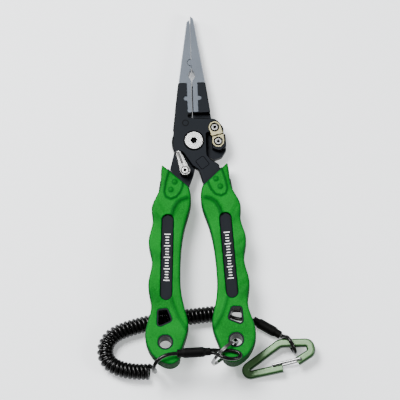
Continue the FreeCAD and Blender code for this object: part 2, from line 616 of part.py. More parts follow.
def cover_plate_body():
    """Small plate let into the front face over the spring's fixed leg."""
    half_w, half_h = COVER_SIZE[0] / 2, COVER_SIZE[1] / 2
    body = plate([(-half_w, -half_h, 1.1), (half_w, -half_h, 1.1), (half_w, half_h, 1.1), (-half_w, half_h, 1.1)],
                 HEAD_HALF - COVER_T, HEAD_HALF + 1)
    body.rotate(V(0, 0, 0), V(0, 0, 1), COVER_TURN)
    body.translate(V(COVER_AT[0], COVER_AT[1], 0))
    return body


def cover_plate():
    half_w, half_h = COVER_SIZE[0] / 2, COVER_SIZE[1] / 2
    body = plate([(-half_w, -half_h, 1.1), (half_w, -half_h, 1.1), (half_w, half_h, 1.1), (-half_w, half_h, 1.1)],
                 HEAD_HALF - COVER_T, HEAD_HALF)
    body = break_edges(body, (HEAD_HALF,), 0.35)
    body.rotate(V(0, 0, 0), V(0, 0, 1), COVER_TURN)
    body.translate(V(COVER_AT[0], COVER_AT[1], 0))
    return body


# ---- lock lever ---------------------------------------------------------------------------
LEVER_LOW = HEAD_HALF + CLEAR / 2 + WASHER_T


def lock_lever():
    """Tapered lever with a thumb rib, carried on a boss of the lower frame."""
    low = LEVER_LOW
    px, py = LEVER_PIVOT
    tx, ty = LEVER_TIP
    length = math.hypot(tx - px, ty - py)
    ux, uy = (tx - px) / length, (ty - py) / length
    lean = math.asin((LEVER_PIVOT_R - LEVER_TIP_R) / length)
    sides = []
    for turn in (math.pi / 2 - lean, -math.pi / 2 + lean):
        dx = ux * math.cos(turn) - uy * math.sin(turn)
        dy = ux * math.sin(turn) + uy * math.cos(turn)
        sides.append(((px + dx * LEVER_PIVOT_R, py + dy * LEVER_PIVOT_R),
                      (tx + dx * LEVER_TIP_R, ty + dy * LEVER_TIP_R)))
    web = plate([sides[0][0] + (0,), sides[0][1] + (0,), sides[1][1] + (0,), sides[1][0] + (0,)],
                low, low + LEVER_T)
    body = web.fuse([rod(LEVER_PIVOT, LEVER_PIVOT_R, low, low + LEVER_T),
                     rod(LEVER_TIP, LEVER_TIP_R, low, low + LEVER_T)]).removeSplitter()
    body = break_edges(body, (low + LEVER_T,), 0.5)
    groove = stadium((px + ux * 5.6, py + uy * 5.6), (tx, ty), 0.8, low + LEVER_T - 0.6, low + LEVER_T + 1)
    body = body.cut(groove)
    body = body.cut(rod(LEVER_PIVOT, LEVER_SCREW_HEAD_R + 0.3, low + LEVER_T - 1.0, low + LEVER_T + 1))
    return body.cut(rod(LEVER_PIVOT, 1.25 + RUNNING, low - 1, low + LEVER_T + 1))


def lock_screw():
    high = LEVER_LOW + LEVER_T + 0.3
    seat = LEVER_LOW + LEVER_T - 1.0 + RUNNING
    head = rod(LEVER_PIVOT, LEVER_SCREW_HEAD_R, seat, high)
    head = head.makeChamfer(0.3, rim_edges(head, (high,)))
    body = head.fuse(rod(LEVER_PIVOT, 1.25, -HEAD_HALF + 1, seat)).removeSplitter()
    return body.cut(hexagon(LEVER_PIVOT, 2.0, high - 1.0, high + 1))


def lock_washer():
    low = HEAD_HALF + CLEAR / 2
    ring = rod(LEVER_PIVOT, LEVER_BOSS_R - 0.2, low, low + WASHER_T - RUNNING)
    return ring.cut(rod(LEVER_PIVOT, 1.25 + RUNNING, low - 1, low + 2))


# ---- split ring ---------------------------------------------------------------------------
def split_ring():
    """Two flat turns side by side, standing on edge through the right handle's hole."""
    inner = RING_R - RING_RADIAL / 2
    outer = RING_R + RING_RADIAL / 2
    turns = []
    for low, high in ((-RING_WIDTH / 2, -0.03), (0.03, RING_WIDTH / 2)):
        turns.append(washer(inner, outer, low, high))
    link = washer(inner, outer, -0.03, 0.03)
    wedge = Part.makeBox(outer, outer, 2, V(0, -outer / 2, -1))
    body = turns[0].fuse([turns[1], link.common(wedge)]).removeSplitter()
    normal = V(-RING_LEAN[1], RING_LEAN[0], 0)
    body.Placement = FreeCAD.Placement(V(HOLE_AT[0] + RING_LEAN[0] * RING_REACH,
                                         HOLE_AT[1] + RING_LEAN[1] * RING_REACH, RING_LIFT),
                                       FreeCAD.Rotation(V(0, 0, 1), normal))
    return body


# ---- tether: its routes are in the table frame ----------------------------------------------
COIL_AXIS_Z = COIL_D / 2
STRAND = CABLE_D / 2 + RUNNING      # the two strands of a loop lie side by side in a sleeve
COIL_ROUTE = [(20.6, -110.4, COIL_AXIS_Z), (-8.0, -112.4, COIL_AXIS_Z), (-34.0, -115.8, COIL_AXIS_Z),
              (-50.8, -120.2, COIL_AXIS_Z), (-57.8, -124.4, COIL_AXIS_Z), (-61.4, -131.0, COIL_AXIS_Z),
              (-60.6, -138.4, COIL_AXIS_Z), (-55.0, -143.8, COIL_AXIS_Z), (-46.0, -146.4, COIL_AXIS_Z),
              (-39.0, -147.1, COIL_AXIS_Z), (-31.8, -147.2, COIL_AXIS_Z)]
RING_SLEEVE = [(-15.2, -140.7, 31.4), (5.8, -140.0, 30.5)]
CLIP_SLEEVE = [(33.9, -115.6, 3.4), (50.8, -126.2, 3.9)]
LEAD_TURNS = [(-27.4, -148.7, 14.4), (-28.0, -149.0, 21.8), (-26.6, -147.5, 29.6), (-22.2, -143.6, 32.0)]
RING_TURNS = [(11.6, -139.2, 28.4), (19.6, -139.4, 28.3), (24.8, -141.2, 28.9), (25.0, -144.4, 30.6),
              (19.6, -146.2, 33.4), (12.6, -144.4, 34.6)]
CLIP_TURNS = [(55.6, -128.9, 13.2), (59.6, -137.4, 12.0), (60.0, -138.6, 3.0), (56.6, -132.0, 1.25)]
COIL_OUT_FRONT = (2.2, 3.2)         # where the cable leaves the coil's ends: side and height
COIL_OUT_REAR = (-1.0, -0.5)


def ahead(ends, reach):
    """Point beyond the second end of a straight stretch."""
    start = V(*ends[0])
    stop = V(*ends[1])
    return stop + (stop - start).normalize() * reach


def coil_exit(last, before, offset, reach):
    """Two points of the cable where it leaves a coil's end face square to it."""
    end = V(*last)
    along = (end - V(*before)).normalize()
    side = V(-along.y, along.x, 0)
    first = end + side * offset[0] + V(0, 0, offset[1])
    return [tuple(first), tuple(first + along * reach)]


def loop_route(sleeve, side, turns, out, back):
    """Route of an end loop: both strands leave the sleeve's end along its axis."""
    start = V(*sleeve[1])
    along = (start - V(*sleeve[0])).normalize()
    side = (side - along * side.dot(along)).normalize() * STRAND
    first = start + side
    last = start - side
    return ([tuple(first), tuple(first + along * out)] + turns
            + [tuple(last + along * back), tuple(last)])


LEAD_ROUTE = (coil_exit(COIL_ROUTE[-1], COIL_ROUTE[-2], COIL_OUT_FRONT, 3.8) + LEAD_TURNS
              + [tuple(ahead(RING_SLEEVE[::-1], 3.4)), RING_SLEEVE[0]])
TAIL_ROUTE = (coil_exit(COIL_ROUTE[0], COIL_ROUTE[1], COIL_OUT_REAR, 4.2)
              + [tuple(ahead(CLIP_SLEEVE[::-1], 3.6)), CLIP_SLEEVE[0]])
RING_LOOP = loop_route(RING_SLEEVE, V(0, 1, -0.6), RING_TURNS, 2.4, 2.6)
CLIP_LOOP = loop_route(CLIP_SLEEVE, V(0, 0, 1), CLIP_TURNS, 2.4, 2.4)


def route_wire(points, name):
    """Straight runs joined by tangent arcs; prints the arcs' radii and returns wire and length."""
    points = [V(*p) for p in points]
    edges = []
    start = points[0]
    radii = []
    length = 0.0
    for i in range(1, len(points) - 1):
        back = points[i - 1] - points[i]
        ahead = points[i + 1] - points[i]
        turn = math.pi - back.getAngle(ahead)
        reach = 0.45 * min(back.Length, ahead.Length)
        radius = reach / math.tan(turn / 2)
        radii.append(radius)
        a = back.normalize()
        b = ahead.normalize()
        enter = points[i] + a * reach
        leave = points[i] + b * reach
        half = (math.pi - turn) / 2
        top = points[i] + (a + b).normalize() * (radius / math.sin(half) - radius)
        edges.append(Part.LineSegment(start, enter).toShape())
        edges.append(Part.Arc(enter, top, leave).toShape())
        length += (enter - start).Length + radius * turn
        start = leave
    edges.append(Part.LineSegment(start, points[-1]).toShape())
    length += (points[-1] - start).Length
    print(name, "arc radii", [round(r, 1) for r in radii], "length", round(length, 1))
    return Part.Wire(edges), length


def tube(points, diameter, name):
    """Round tube along a route; prints its volume against section times length."""
    wire, length = route_wire(points, name)
    along = V(*points[1]) - V(*points[0])
    circle = Part.Wire(Part.Circle(V(*points[0]), along, diameter / 2).toShape())
    body = wire.makePipeShell([circle], True, True)
    section = math.pi * diameter ** 2 / 4
    print(name, "volume share", round(body.Volume / (section * length), 4), body.isValid())
    return body


def sleeve_and_crimp(ends):
    """Shrink sleeve with narrow ends, and the oval metal crimp inside it."""
    start = V(*ends[0])
    along = V(*ends[1]) - start
    length = along.Length
    profile = [(0, 0), (SLEEVE_END_R, 0), (SLEEVE_END_R, SLEEVE_STEP - 1), (SLEEVE_R, SLEEVE_STEP + 0.6),
               (SLEEVE_R, length - SLEEVE_STEP - 0.6), (SLEEVE_END_R, length - SLEEVE_STEP + 1),
               (SLEEVE_END_R, length), (0, length)]
    wire = Part.makePolygon([V(x, 0, z) for x, z in profile] + [V(0, 0, 0)])
    body = Part.Face(wire).revolve(V(0, 0, 0), V(0, 0, 1), 360)
    crimp_r = SLEEVE_R - SLEEVE_WALL
    crimp = Part.makeCylinder(crimp_r, length - 2 * CRIMP_INSET, V(0, 0, CRIMP_INSET))
    crimp = crimp.makeChamfer(0.4, [e for e in crimp.Edges if e.Curve.TypeId == "Part::GeomCircle"])
    body = body.cut(crimp)
    turn = FreeCAD.Rotation(V(0, 0, 1), along)
    body.Placement = FreeCAD.Placement(start, turn)
    crimp.Placement = FreeCAD.Placement(start, turn)
    return body, crimp


# ---- belt clip: drawn flat in its own plane, then leaned on the table ------------------------
CLIP_ROUTE = [(61.2, -144.4, 0), (70.8, -138.8, 3.2), (69.4, -132.6, 3.2), (50.4, -131.9, 7.0),
              (27.9, -146.9, 2.9), (29.0, -151.6, 2.9), (51.8, -148.0, 0)]
GATE_HINGE = (63.6, -143.0)
GATE_REST = (46.0, -146.3)      # cross-piece of the wire gate, in the nose's notch
CLIP_LEFT = (27.9, -149.2)
CLIP_BAR_POINT = (60.6, -132.3)  # where the tether's loop goes round the bar


def clip_placement():
    """Plane through three heights of the clip's underside, its drawing kept in plan."""
    a = V(CLIP_LEFT[0], CLIP_LEFT[1], CLIP_LEFT_LIFT + CLIP_BAR_T / 2)
    b = V(CLIP_BAR_POINT[0], CLIP_BAR_POINT[1], CLIP_PIVOT_LIFT + CLIP_BAR_T / 2)
    c = V(GATE_HINGE[0], GATE_HINGE[1], CLIP_GATE_LIFT + CLIP_BAR_T / 2)
    normal = (b - a).cross(c - a).normalize()
    if normal.z < 0:
        normal = -normal
    tilt = FreeCAD.Rotation(V(0, 0, 1), normal)
    flat_a = V(CLIP_LEFT[0], CLIP_LEFT[1], 0)
    return FreeCAD.Placement(a - tilt.multVec(flat_a), tilt), normal


def clip_wire():
    """Centre line of the bar: an open loop from the gate hinge round to the nose."""
    points = [V(x, y, 0) for x, y, r in CLIP_ROUTE]
    edges = []
    start = points[0]
    for i in range(1, len(points) - 1):
        radius = CLIP_ROUTE[i][2]
        a = (points[i - 1] - points[i]).normalize()
        b = (points[i + 1] - points[i]).normalize()
        half = a.getAngle(b) / 2
        reach = radius / math.tan(half)
        top = points[i] + (a + b).normalize() * (radius / math.sin(half) - radius)
        edges.append(Part.LineSegment(start, points[i] + a * reach).toShape())
        edges.append(Part.Arc(points[i] + a * reach, top, points[i] + b * reach).toShape())
        start = points[i] + b * reach
    edges.append(Part.LineSegment(start, points[-1]).toShape())
    return Part.Wire(edges)


def clip_body():
    """Open bar with rounded edges, drilled for the gate's ends and notched at the nose."""
    wire = clip_wire()
    half_w, half_t = CLIP_BAR_W / 2, CLIP_BAR_T / 2
    profile = rounded_wire([(-half_w, -half_t, CLIP_BAR_ROUND), (half_w, -half_t, CLIP_BAR_ROUND),
                            (half_w, half_t, CLIP_BAR_ROUND), (-half_w, half_t, CLIP_BAR_ROUND)])
    first = V(CLIP_ROUTE[0][0], CLIP_ROUTE[0][1], 0)
    along = V(CLIP_ROUTE[1][0], CLIP_ROUTE[1][1], 0) - first
    across = V(0, 0, 1).cross(along).normalize()
    turn = FreeCAD.Rotation(across, V(0, 0, 1), along, "ZXY")
    profile.Placement = FreeCAD.Placement(first, turn)
    body = wire.makePipeShell([profile], True, True)
    bore = rod(GATE_HINGE, GATE_WIRE / 2 + RUNNING, half_t - GATE_STUB - 0.3, half_t + 2)
    body = body.cut([bore, bore.mirror(V(0, 0, 0), V(0, 0, 1))])
    notch = rod(GATE_REST, GATE_WIRE / 2 + CLEAR, -half_t - 1, half_t + 1)
    lift = stadium(GATE_REST, (GATE_REST[0] - 0.6, GATE_REST[1] + 4), GATE_WIRE / 2 + CLEAR, -half_t - 1, half_t + 1)
    return body.cut([notch, lift])


GATE_STUB = 1.5


def clip_gate():
    """Bent wire: a stub in each face of the bar, two legs, and the cross-piece at the nose."""
    level = CLIP_BAR_T / 2 + CLEAR + GATE_WIRE / 2
    hx, hy = GATE_HINGE
    rx, ry = GATE_REST
    solids = []
    leg = math.hypot(rx - hx, ry - hy)
    for sign in (-1, 1):
        solids.append(Part.makeCylinder(GATE_WIRE / 2, leg, V(hx, hy, sign * level), V(rx - hx, ry - hy, 0)))
        solids.append(Part.makeSphere(GATE_WIRE / 2, V(hx, hy, sign * level)))
        solids.append(Part.makeSphere(GATE_WIRE / 2, V(rx, ry, sign * level)))
        low = CLIP_BAR_T / 2 - GATE_STUB
        solids.append(Part.makeCylinder(GATE_WIRE / 2, level - low, V(hx, hy, sign * low), V(0, 0, sign)))
    cross = Part.makeCylinder(GATE_WIRE / 2, 2 * level, V(rx, ry, -level))
    return cross.fuse(solids).removeSplitter()


# ---- assembly -----------------------------------------------------------------------------
def build():
    """All nodes in the table frame: name -> shape."""
    tang = right_tang()
    grip = right_grip(tang)
    seat = HEAD_HALF + PIVOT_HEAD_PROUD - PIVOT_HEAD_H
    upper = upper_frame(tang)
    lower = lower_frame(tang)
    tool = {
        "upper_frame": upper,
        "lower_frame": lower,
        "right_grip": grip.cut(upper),
        "left_grip": grip.mirror(V(0, 0, 0), V(1, 0, 0)).cut(lower),
        "left_jaw": left_jaw(),
        "right_jaw": right_jaw(),
        "left_jaw_screws": jaw_screws(-1),
        "right_jaw_screws": jaw_screws(1),
        "upper_cutter": cutter(upper_cutter_body(), UPPER_CUTTER_AT),
        "lower_cutter": cutter(lower_cutter_body(), LOWER_CUTTER_AT),
        "upper_cutter_screw": cutter_screw(UPPER_CUTTER_AT, LAP_GAP + 0.2),
        "lower_cutter_screw": cutter_screw(LOWER_CUTTER_AT, -HEAD_HALF + 1.0),
        "pivot_screw": pivot_screw(),
        "pivot_nut": pivot_nut(),
        "front_washer": washer(PIVOT_SHANK_R + 0.1, PIVOT_HEAD_R - 0.5, seat - WASHER_T, seat),
        "rear_washer": washer(PIVOT_BARREL_R + RUNNING, PIVOT_HEAD_R - 0.5, -seat, -seat + WASHER_T),
        "thrust_washer": washer(PIVOT_BARREL_R + RUNNING, THRUST_WASHER_R,
                                LAP_GAP - RUNNING - THRUST_WASHER_T, LAP_GAP - RUNNING),
        "opening_spring": opening_spring(),
        "spring_pin": spring_pin(),
        "stop_pin": stop_pin(),
        "cover_plate": cover_plate(),
        "lock_lever": lock_lever(),
        "lock_screw": lock_screw(),
        "lock_washer": lock_washer(),
        "split_ring": split_ring(),
    }
    nodes = {name: on_table(shape) for name, shape in tool.items()}
    pliers = list(nodes)
    nodes["coil"] = tube(COIL_ROUTE, COIL_D, "coil")
    nodes["lead_cable"] = tube(LEAD_ROUTE, CABLE_D, "lead_cable")
    nodes["ring_loop"] = tube(RING_LOOP, CABLE_D, "ring_loop")
    nodes["tail_cable"] = tube(TAIL_ROUTE, CABLE_D, "tail_cable")
    nodes["clip_loop"] = tube(CLIP_LOOP, CABLE_D, "clip_loop")
    nodes["ring_sleeve"], nodes["ring_crimp"] = sleeve_and_crimp(RING_SLEEVE)
    nodes["clip_sleeve"], nodes["clip_crimp"] = sleeve_and_crimp(CLIP_SLEEVE)
    lean, clip_normal = clip_placement()
    for name, shape in (("belt_clip", clip_body()), ("clip_gate", clip_gate())):
        shape.Placement = lean.multiply(shape.Placement)
        nodes[name] = shape
    report_axes(lean, clip_normal)
    return nodes, pliers


def report_axes(lean, clip_normal):
    """Joint places and axes in the table frame, before the shift to the footprint's middle."""
    def show(name, at, axis):
        print("axis", name, [round(v, 4) for v in at], [round(v, 6) for v in axis])
    up = TO_TABLE.Rotation.multVec(V(0, 0, 1))
    show("jaw_pivot", TO_TABLE.multVec(V(0, 0, 0)), -up)
    show("lock_swing", TO_TABLE.multVec(V(LEVER_PIVOT[0], LEVER_PIVOT[1], LEVER_LOW)), up)
    ring_at = V(HOLE_AT[0] + RING_LEAN[0] * RING_REACH, HOLE_AT[1] + RING_LEAN[1] * RING_REACH, RING_LIFT)
    show("ring_spin", TO_TABLE.multVec(ring_at), TO_TABLE.Rotation.multVec(V(-RING_LEAN[1], RING_LEAN[0], 0)))
    show("clip_swing", V(CLIP_BAR_POINT[0], CLIP_BAR_POINT[1], 0), V(0, 0, 1))
    show("gate_swing", lean.multVec(V(GATE_HINGE[0], GATE_HINGE[1], 0)), -clip_normal)
    show("left_hole", TO_TABLE.multVec(V(-HOLE_AT[0], HOLE_AT[1], 0)), up)


def main():
    nodes, pliers = build()
    boxes = [nodes[name].optimalBoundingBox(False) for name in pliers]
    shift = V(-(min(b.XMin for b in boxes) + max(b.XMax for b in boxes)) / 2,
              -(min(b.YMin for b in boxes) + max(b.YMax for b in boxes)) / 2,
              -min(b.ZMin for b in boxes))
    print("shift", [round(v, 4) for v in shift])
    for name, shape in nodes.items():
        shape.translate(shift)
        print(name, "solids", len(shape.Solids), "valid", shape.isValid(), "volume", round(shape.Volume, 1))
        shape.exportStep("parts/" + name + ".step")


main()
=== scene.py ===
# Long-nose fishing pliers with rubber grips and a coiled tether, laid out for a product view.
# Everything is in metres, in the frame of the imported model: +Y to the jaw tips, +Z up.
import math
import bpy
import bmesh
from mathutils import Matrix, Vector


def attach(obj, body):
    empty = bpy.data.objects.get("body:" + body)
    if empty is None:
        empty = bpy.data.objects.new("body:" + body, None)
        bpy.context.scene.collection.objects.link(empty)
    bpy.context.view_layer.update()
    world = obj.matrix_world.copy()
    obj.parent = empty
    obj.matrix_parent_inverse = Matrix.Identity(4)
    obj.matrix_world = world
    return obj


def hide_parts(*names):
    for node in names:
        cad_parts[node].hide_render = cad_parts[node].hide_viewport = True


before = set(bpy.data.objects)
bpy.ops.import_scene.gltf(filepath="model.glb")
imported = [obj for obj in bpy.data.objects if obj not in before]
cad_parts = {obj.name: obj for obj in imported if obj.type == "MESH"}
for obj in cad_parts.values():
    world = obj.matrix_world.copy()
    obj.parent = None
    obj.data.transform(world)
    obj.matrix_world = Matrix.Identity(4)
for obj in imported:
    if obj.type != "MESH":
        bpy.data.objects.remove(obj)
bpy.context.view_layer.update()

# ---- Camera, table and lamps ------------------------------------------------------------
# The tool lies on a pale table and is seen from above, a little from the handles' end,
# under a big soft box, a side box and a low strip that draws a line along the metal.
PITCH = math.radians(4.3064)                     # the tool's upper face falls towards the tips
TOOL = (Matrix.Translation((0.0, 0.0318414, 0.0098588))
        @ Matrix.Rotation(-PITCH, 4, "X"))       # from the pivot's own frame to the table's
UP = TOOL.to_3x3() @ Vector((0.0, 0.0, 1.0))     # square to the tool's broad faces
CAMERA_DISTANCE = 4.0
aim = TOOL @ Vector((0.0026, -0.0384, 0.0))
view_lean = math.radians(11.7)
view_from = Vector((0.0, -math.sin(view_lean), math.cos(view_lean)))
right = Vector((1.0, 0.0, 0.0))
above = view_from.cross(right)
roll = math.radians(2.0)
turned_right = right * math.cos(roll) - above * math.sin(roll)
turned_above = above * math.cos(roll) + right * math.sin(roll)
camera_data = bpy.data.cameras.new("camera")
camera_data.lens = 563.6
camera_data.sensor_width = 36.0
camera_data.clip_start = 0.05
camera = bpy.data.objects.new("camera", camera_data)
axes = Matrix((turned_right, turned_above, view_from)).transposed().to_4x4()
camera.matrix_world = Matrix.Translation(aim + view_from * CAMERA_DISTANCE) @ axes
bpy.context.collection.objects.link(camera)
bpy.context.scene.camera = camera

for name, place, size, power in (
        ("overhead_box", (-0.38, 0.40, 1.05), 0.50, 30.0),
        ("side_box", (0.95, -0.30, 0.70), 0.40, 10.0),
        ("strip", (-0.85, 0.45, 0.35), 0.25, 7.0)):
    lamp_data = bpy.data.lights.new(name, "AREA")
    lamp_data.shape = "SQUARE"
    lamp_data.size = size
    lamp_data.energy = power
    lamp = bpy.data.objects.new(name, lamp_data)
    lamp.location = place
    lamp.rotation_euler = (Vector(place) - aim).to_track_quat("Z", "Y").to_euler()
    bpy.context.collection.objects.link(lamp)
world = bpy.data.worlds.new("studio")
world.use_nodes = True
world.node_tree.nodes["Background"].inputs["Color"].default_value = (1.0, 1.0, 1.0, 1.0)
world.node_tree.nodes["Background"].inputs["Strength"].default_value = 0.24
bpy.context.scene.world = world

table_mesh = bpy.data.meshes.new("table")
table_mesh.from_pydata([(-3, -3, 0), (3, -3, 0), (3, 3, 0), (-3, 3, 0)], [], [(0, 1, 2, 3)])
table = bpy.data.objects.new("table", table_mesh)
bpy.context.collection.objects.link(table)
table_paper = bpy.data.materials.new("table_paper")
table_paper.use_nodes = True
paper = table_paper.node_tree.nodes["Principled BSDF"]
paper.inputs["Base Color"].default_value = (0.86, 0.88, 0.90, 1.0)
paper.inputs["Roughness"].default_value = 0.85
paper.inputs["Emission Color"].default_value = (0.97, 0.99, 1.0, 1.0)
paper.inputs["Emission Strength"].default_value = 0.38
table_mesh.materials.append(table_paper)


# ---- Tether cable -----------------------------------------------------------------------
# One length of plastic-coated wire. It makes a loop through the split ring, comes back into
# a crimp, runs over the handle, is wound into a curly stretch, and ends in a second loop.
class Value:
    """A node socket that can be used in arithmetic."""

    def __init__(self, tree, socket):
        self.tree = tree
        self.socket = socket

    def maths(self, operation, *others):
        node = self.tree.nodes.new("ShaderNodeMath")
        node.operation = operation
        for slot, other in zip(node.inputs, (self,) + others):
            if isinstance(other, Value):
                self.tree.links.new(other.socket, slot)
            else:
                slot.default_value = other
        return Value(self.tree, node.outputs[0])

    def __add__(self, other):
        return self.maths("ADD", other)

    __radd__ = __add__

    def __mul__(self, other):
        return self.maths("MULTIPLY", other)

    __rmul__ = __mul__

    def __sub__(self, other):
        return self.maths("SUBTRACT", other)

    def __rsub__(self, other):
        return (self * -1.0) + other

    def ramp(self, low, high):
        """0 at low, 1 at high, held at both ends; low may be the larger."""
        share = (self - low) * (1.0 / (high - low))
        return share.maths("MAXIMUM", 0.0).maths("MINIMUM", 1.0)


class Finish:
    """A material on a Principled shader, built node by node."""

    def __init__(self, name, **plain):
        self.material = bpy.data.materials.new(name)
        self.material.use_nodes = True
        self.tree = self.material.node_tree
        self.shader = self.tree.nodes["Principled BSDF"]
        for socket, value in plain.items():
            self.shader.inputs[socket.replace("_", " ")].default_value = value

    def node(self, kind, sockets=None, output=0, **settings):
        node = self.tree.nodes.new(kind)
        for key, value in settings.items():
            setattr(node, key, value)
        for key, value in (sockets or {}).items():
            if isinstance(value, Value):
                self.tree.links.new(value.socket, node.inputs[key])
            else:
                node.inputs[key].default_value = value
        return Value(self.tree, node.outputs[output])

    def place(self):
        return self.node("ShaderNodeTexCoord", output=3)

    def noise(self, scale, detail=2.0):
        return self.node("ShaderNodeTexNoise", {"Vector": self.place(), "Scale": scale, "Detail": detail})

    def along_up(self, vector):
        return self.node("ShaderNodeVectorMath", {0: vector, 1: tuple(UP)}, output=1, operation="DOT_PRODUCT")

    def facing(self):
        """1 on the broad faces, towards 0 on chamfers and walls."""
        normal = self.node("ShaderNodeTexCoord", output=1)
        return self.along_up(normal).maths("ABSOLUTE")

    def off_axis(self, centre):
        """Distance from the axis through a point, square to the broad faces."""
        away = self.node("ShaderNodeVectorMath", {0: self.place(), 1: tuple(centre)}, operation="SUBTRACT")
        level = self.node("ShaderNodeVectorMath", {0: away, 1: tuple(UP)}, operation="CROSS_PRODUCT")
        return self.node("ShaderNodeVectorMath", {0: level}, output=1, operation="LENGTH")

    def mix(self, factor, first, second):
        """Blend of two colours."""
        return self.node("ShaderNodeMix", {0: factor, 6: first, 7: second}, output=2, data_type="RGBA")

    def to(self, socket, value):
        self.tree.links.new(value.socket, self.shader.inputs[socket])
        return self

    def bump(self, height, depth, strength=1.0):
        bump = self.node("ShaderNodeBump", {"Height": height, "Distance": depth, "Strength": strength})
        return self.to("Normal", bump)


def grey(level):
    return (level, level, level, 1.0)


CABLE = 0.0025
COIL_RADIUS = 0.00425           # to the middle of the cable
COIL_PITCH = 0.00262
TURN_POINTS = 14
LEAVES_AT = math.radians(145)   # where on a turn the cable joins and leaves the coil
COIL_STEPS = 600                # places along the coil where its spacing is worked out
BEND_REACH = 0.004              # how far each way a bend of the coil's axis is looked at
BEND_OPENING = 0.25             # share of a bend's stretch that goes into the spacing
ring_sleeve_ends = [Vector((0.0058, -0.10816, 0.03046)), Vector((-0.0152, -0.10886, 0.03136))]
clip_sleeve_ends = [Vector((0.0339, -0.08376, 0.00336)), Vector((0.0508, -0.09436, 0.00386))]
ring_loop = [(0.00586, -0.10923, 0.0311), (0.00846, -0.10914, 0.03099), (0.0126, -0.11256, 0.03456),
             (0.0196, -0.11436, 0.03336), (0.025, -0.11256, 0.03056), (0.0248, -0.10936, 0.02886),
             (0.0196, -0.10756, 0.02826), (0.0116, -0.10736, 0.02836), (0.00813, -0.10701, 0.02972),
             (0.00574, -0.10709, 0.02982)]
lead = [(-0.0152, -0.10886, 0.03136), (-0.01859, -0.10897, 0.03151), (-0.0224, -0.1098, 0.0322),
        (-0.0277, -0.1123, 0.0318), (-0.0306, -0.1169, 0.0290), (-0.0306, -0.1182, 0.0215),
        (-0.0292, -0.1174, 0.0140), (-0.0300, -0.1146, 0.0108)]
coil_axis = [(-0.0318, -0.11536, 0.00546), (-0.039, -0.11526, 0.00546), (-0.046, -0.11456, 0.00546),
             (-0.055, -0.11196, 0.00546), (-0.0606, -0.10656, 0.00546), (-0.0614, -0.09916, 0.00546),
             (-0.0578, -0.09256, 0.00546), (-0.0508, -0.08836, 0.00546), (-0.034, -0.08396, 0.00546),
             (-0.008, -0.08056, 0.00546), (0.0206, -0.07856, 0.00546)]
tail = [(0.0243, -0.0832, 0.0048), (0.0290, -0.0832, 0.0034), (0.0339, -0.08376, 0.00336)]
clip_loop = [(0.05077, -0.09434, 0.00511), (0.05281, -0.09562, 0.00517), (0.0556, -0.09706, 0.01316),
             (0.0596, -0.10556, 0.01196), (0.06, -0.10676, 0.00296), (0.0566, -0.10016, 0.00121),
             (0.05286, -0.09565, 0.00267), (0.05083, -0.09438, 0.00261)]


def open_spline(name, points, depth=0.0):
    data = bpy.data.curves.new(name, "CURVE")
    data.dimensions = "3D"
    spline = data.splines.new("NURBS")
    spline.points.add(len(points) - 1)
    for place, point in zip(spline.points, points):
        place.co = (point[0], point[1], point[2], 1.0)
    spline.order_u = 3
    spline.use_endpoint_u = True
    spline.resolution_u = 3
    data.bevel_depth = depth
    data.bevel_resolution = 3
    data.use_fill_caps = True
    thing = bpy.data.objects.new(name, data)
    bpy.context.collection.objects.link(thing)
    return thing


def line_of(points, steps):
    """Points along the smooth line of a route, and how far along it each one is."""
    guide = open_spline("guide", points)
    guide.data.splines[0].resolution_u = steps
    bpy.context.view_layer.update()
    mesh = bpy.data.meshes.new_from_object(guide.evaluated_get(bpy.context.evaluated_depsgraph_get()))
    line = [v.co.copy() for v in mesh.vertices]
    bpy.data.objects.remove(guide)
    far = [0.0]
    for here, there in zip(line, line[1:]):
        far.append(far[-1] + (there - here).length)
    return line, far


def at_distance(line, far, distance):
    """Point and direction at a distance along a line."""
    distance = min(max(distance, 1e-6), far[-1] - 1e-6)
    low = max(i for i, t in enumerate(far[:-1]) if t <= distance)
    here, there = line[low], line[low + 1]
    return here.lerp(there, (distance - far[low]) / (far[low + 1] - far[low])), (there - here).normalized()


# The turns' spacing opens a little on a bend, where their inner sides touch.
axis_line, axis_far = line_of(coil_axis, 40)
phase = [0.0]
spot = [COIL_PITCH * 0.5 + (axis_far[-1] - COIL_PITCH) * k / COIL_STEPS for k in range(COIL_STEPS + 1)]
for here, there in zip(spot, spot[1:]):
    _, before = at_distance(axis_line, axis_far, here - BEND_REACH)
    _, after = at_distance(axis_line, axis_far, here + BEND_REACH)
    opened = 1.0 + BEND_OPENING * COIL_RADIUS * before.angle(after) / (2 * BEND_REACH)
    phase.append(phase[-1] + (there - here) / (COIL_PITCH * opened))
turns = round(phase[-1])
phase = [p * turns / phase[-1] for p in phase]
helix = []
low = 0
for k in range(turns * TURN_POINTS + 1):
    wanted = min(k / TURN_POINTS, phase[-1])
    while low < COIL_STEPS - 1 and phase[low + 1] < wanted:
        low += 1
    share = (wanted - phase[low]) / (phase[low + 1] - phase[low])
    middle, along = at_distance(axis_line, axis_far, spot[low] + (spot[low + 1] - spot[low]) * share)
    across = Vector((0, 0, 1)).cross(along).normalized()
    up = along.cross(across).normalized()
    angle = LEAVES_AT + math.tau * wanted
    helix.append(middle + (across * math.cos(angle) + up * math.sin(angle)) * COIL_RADIUS)

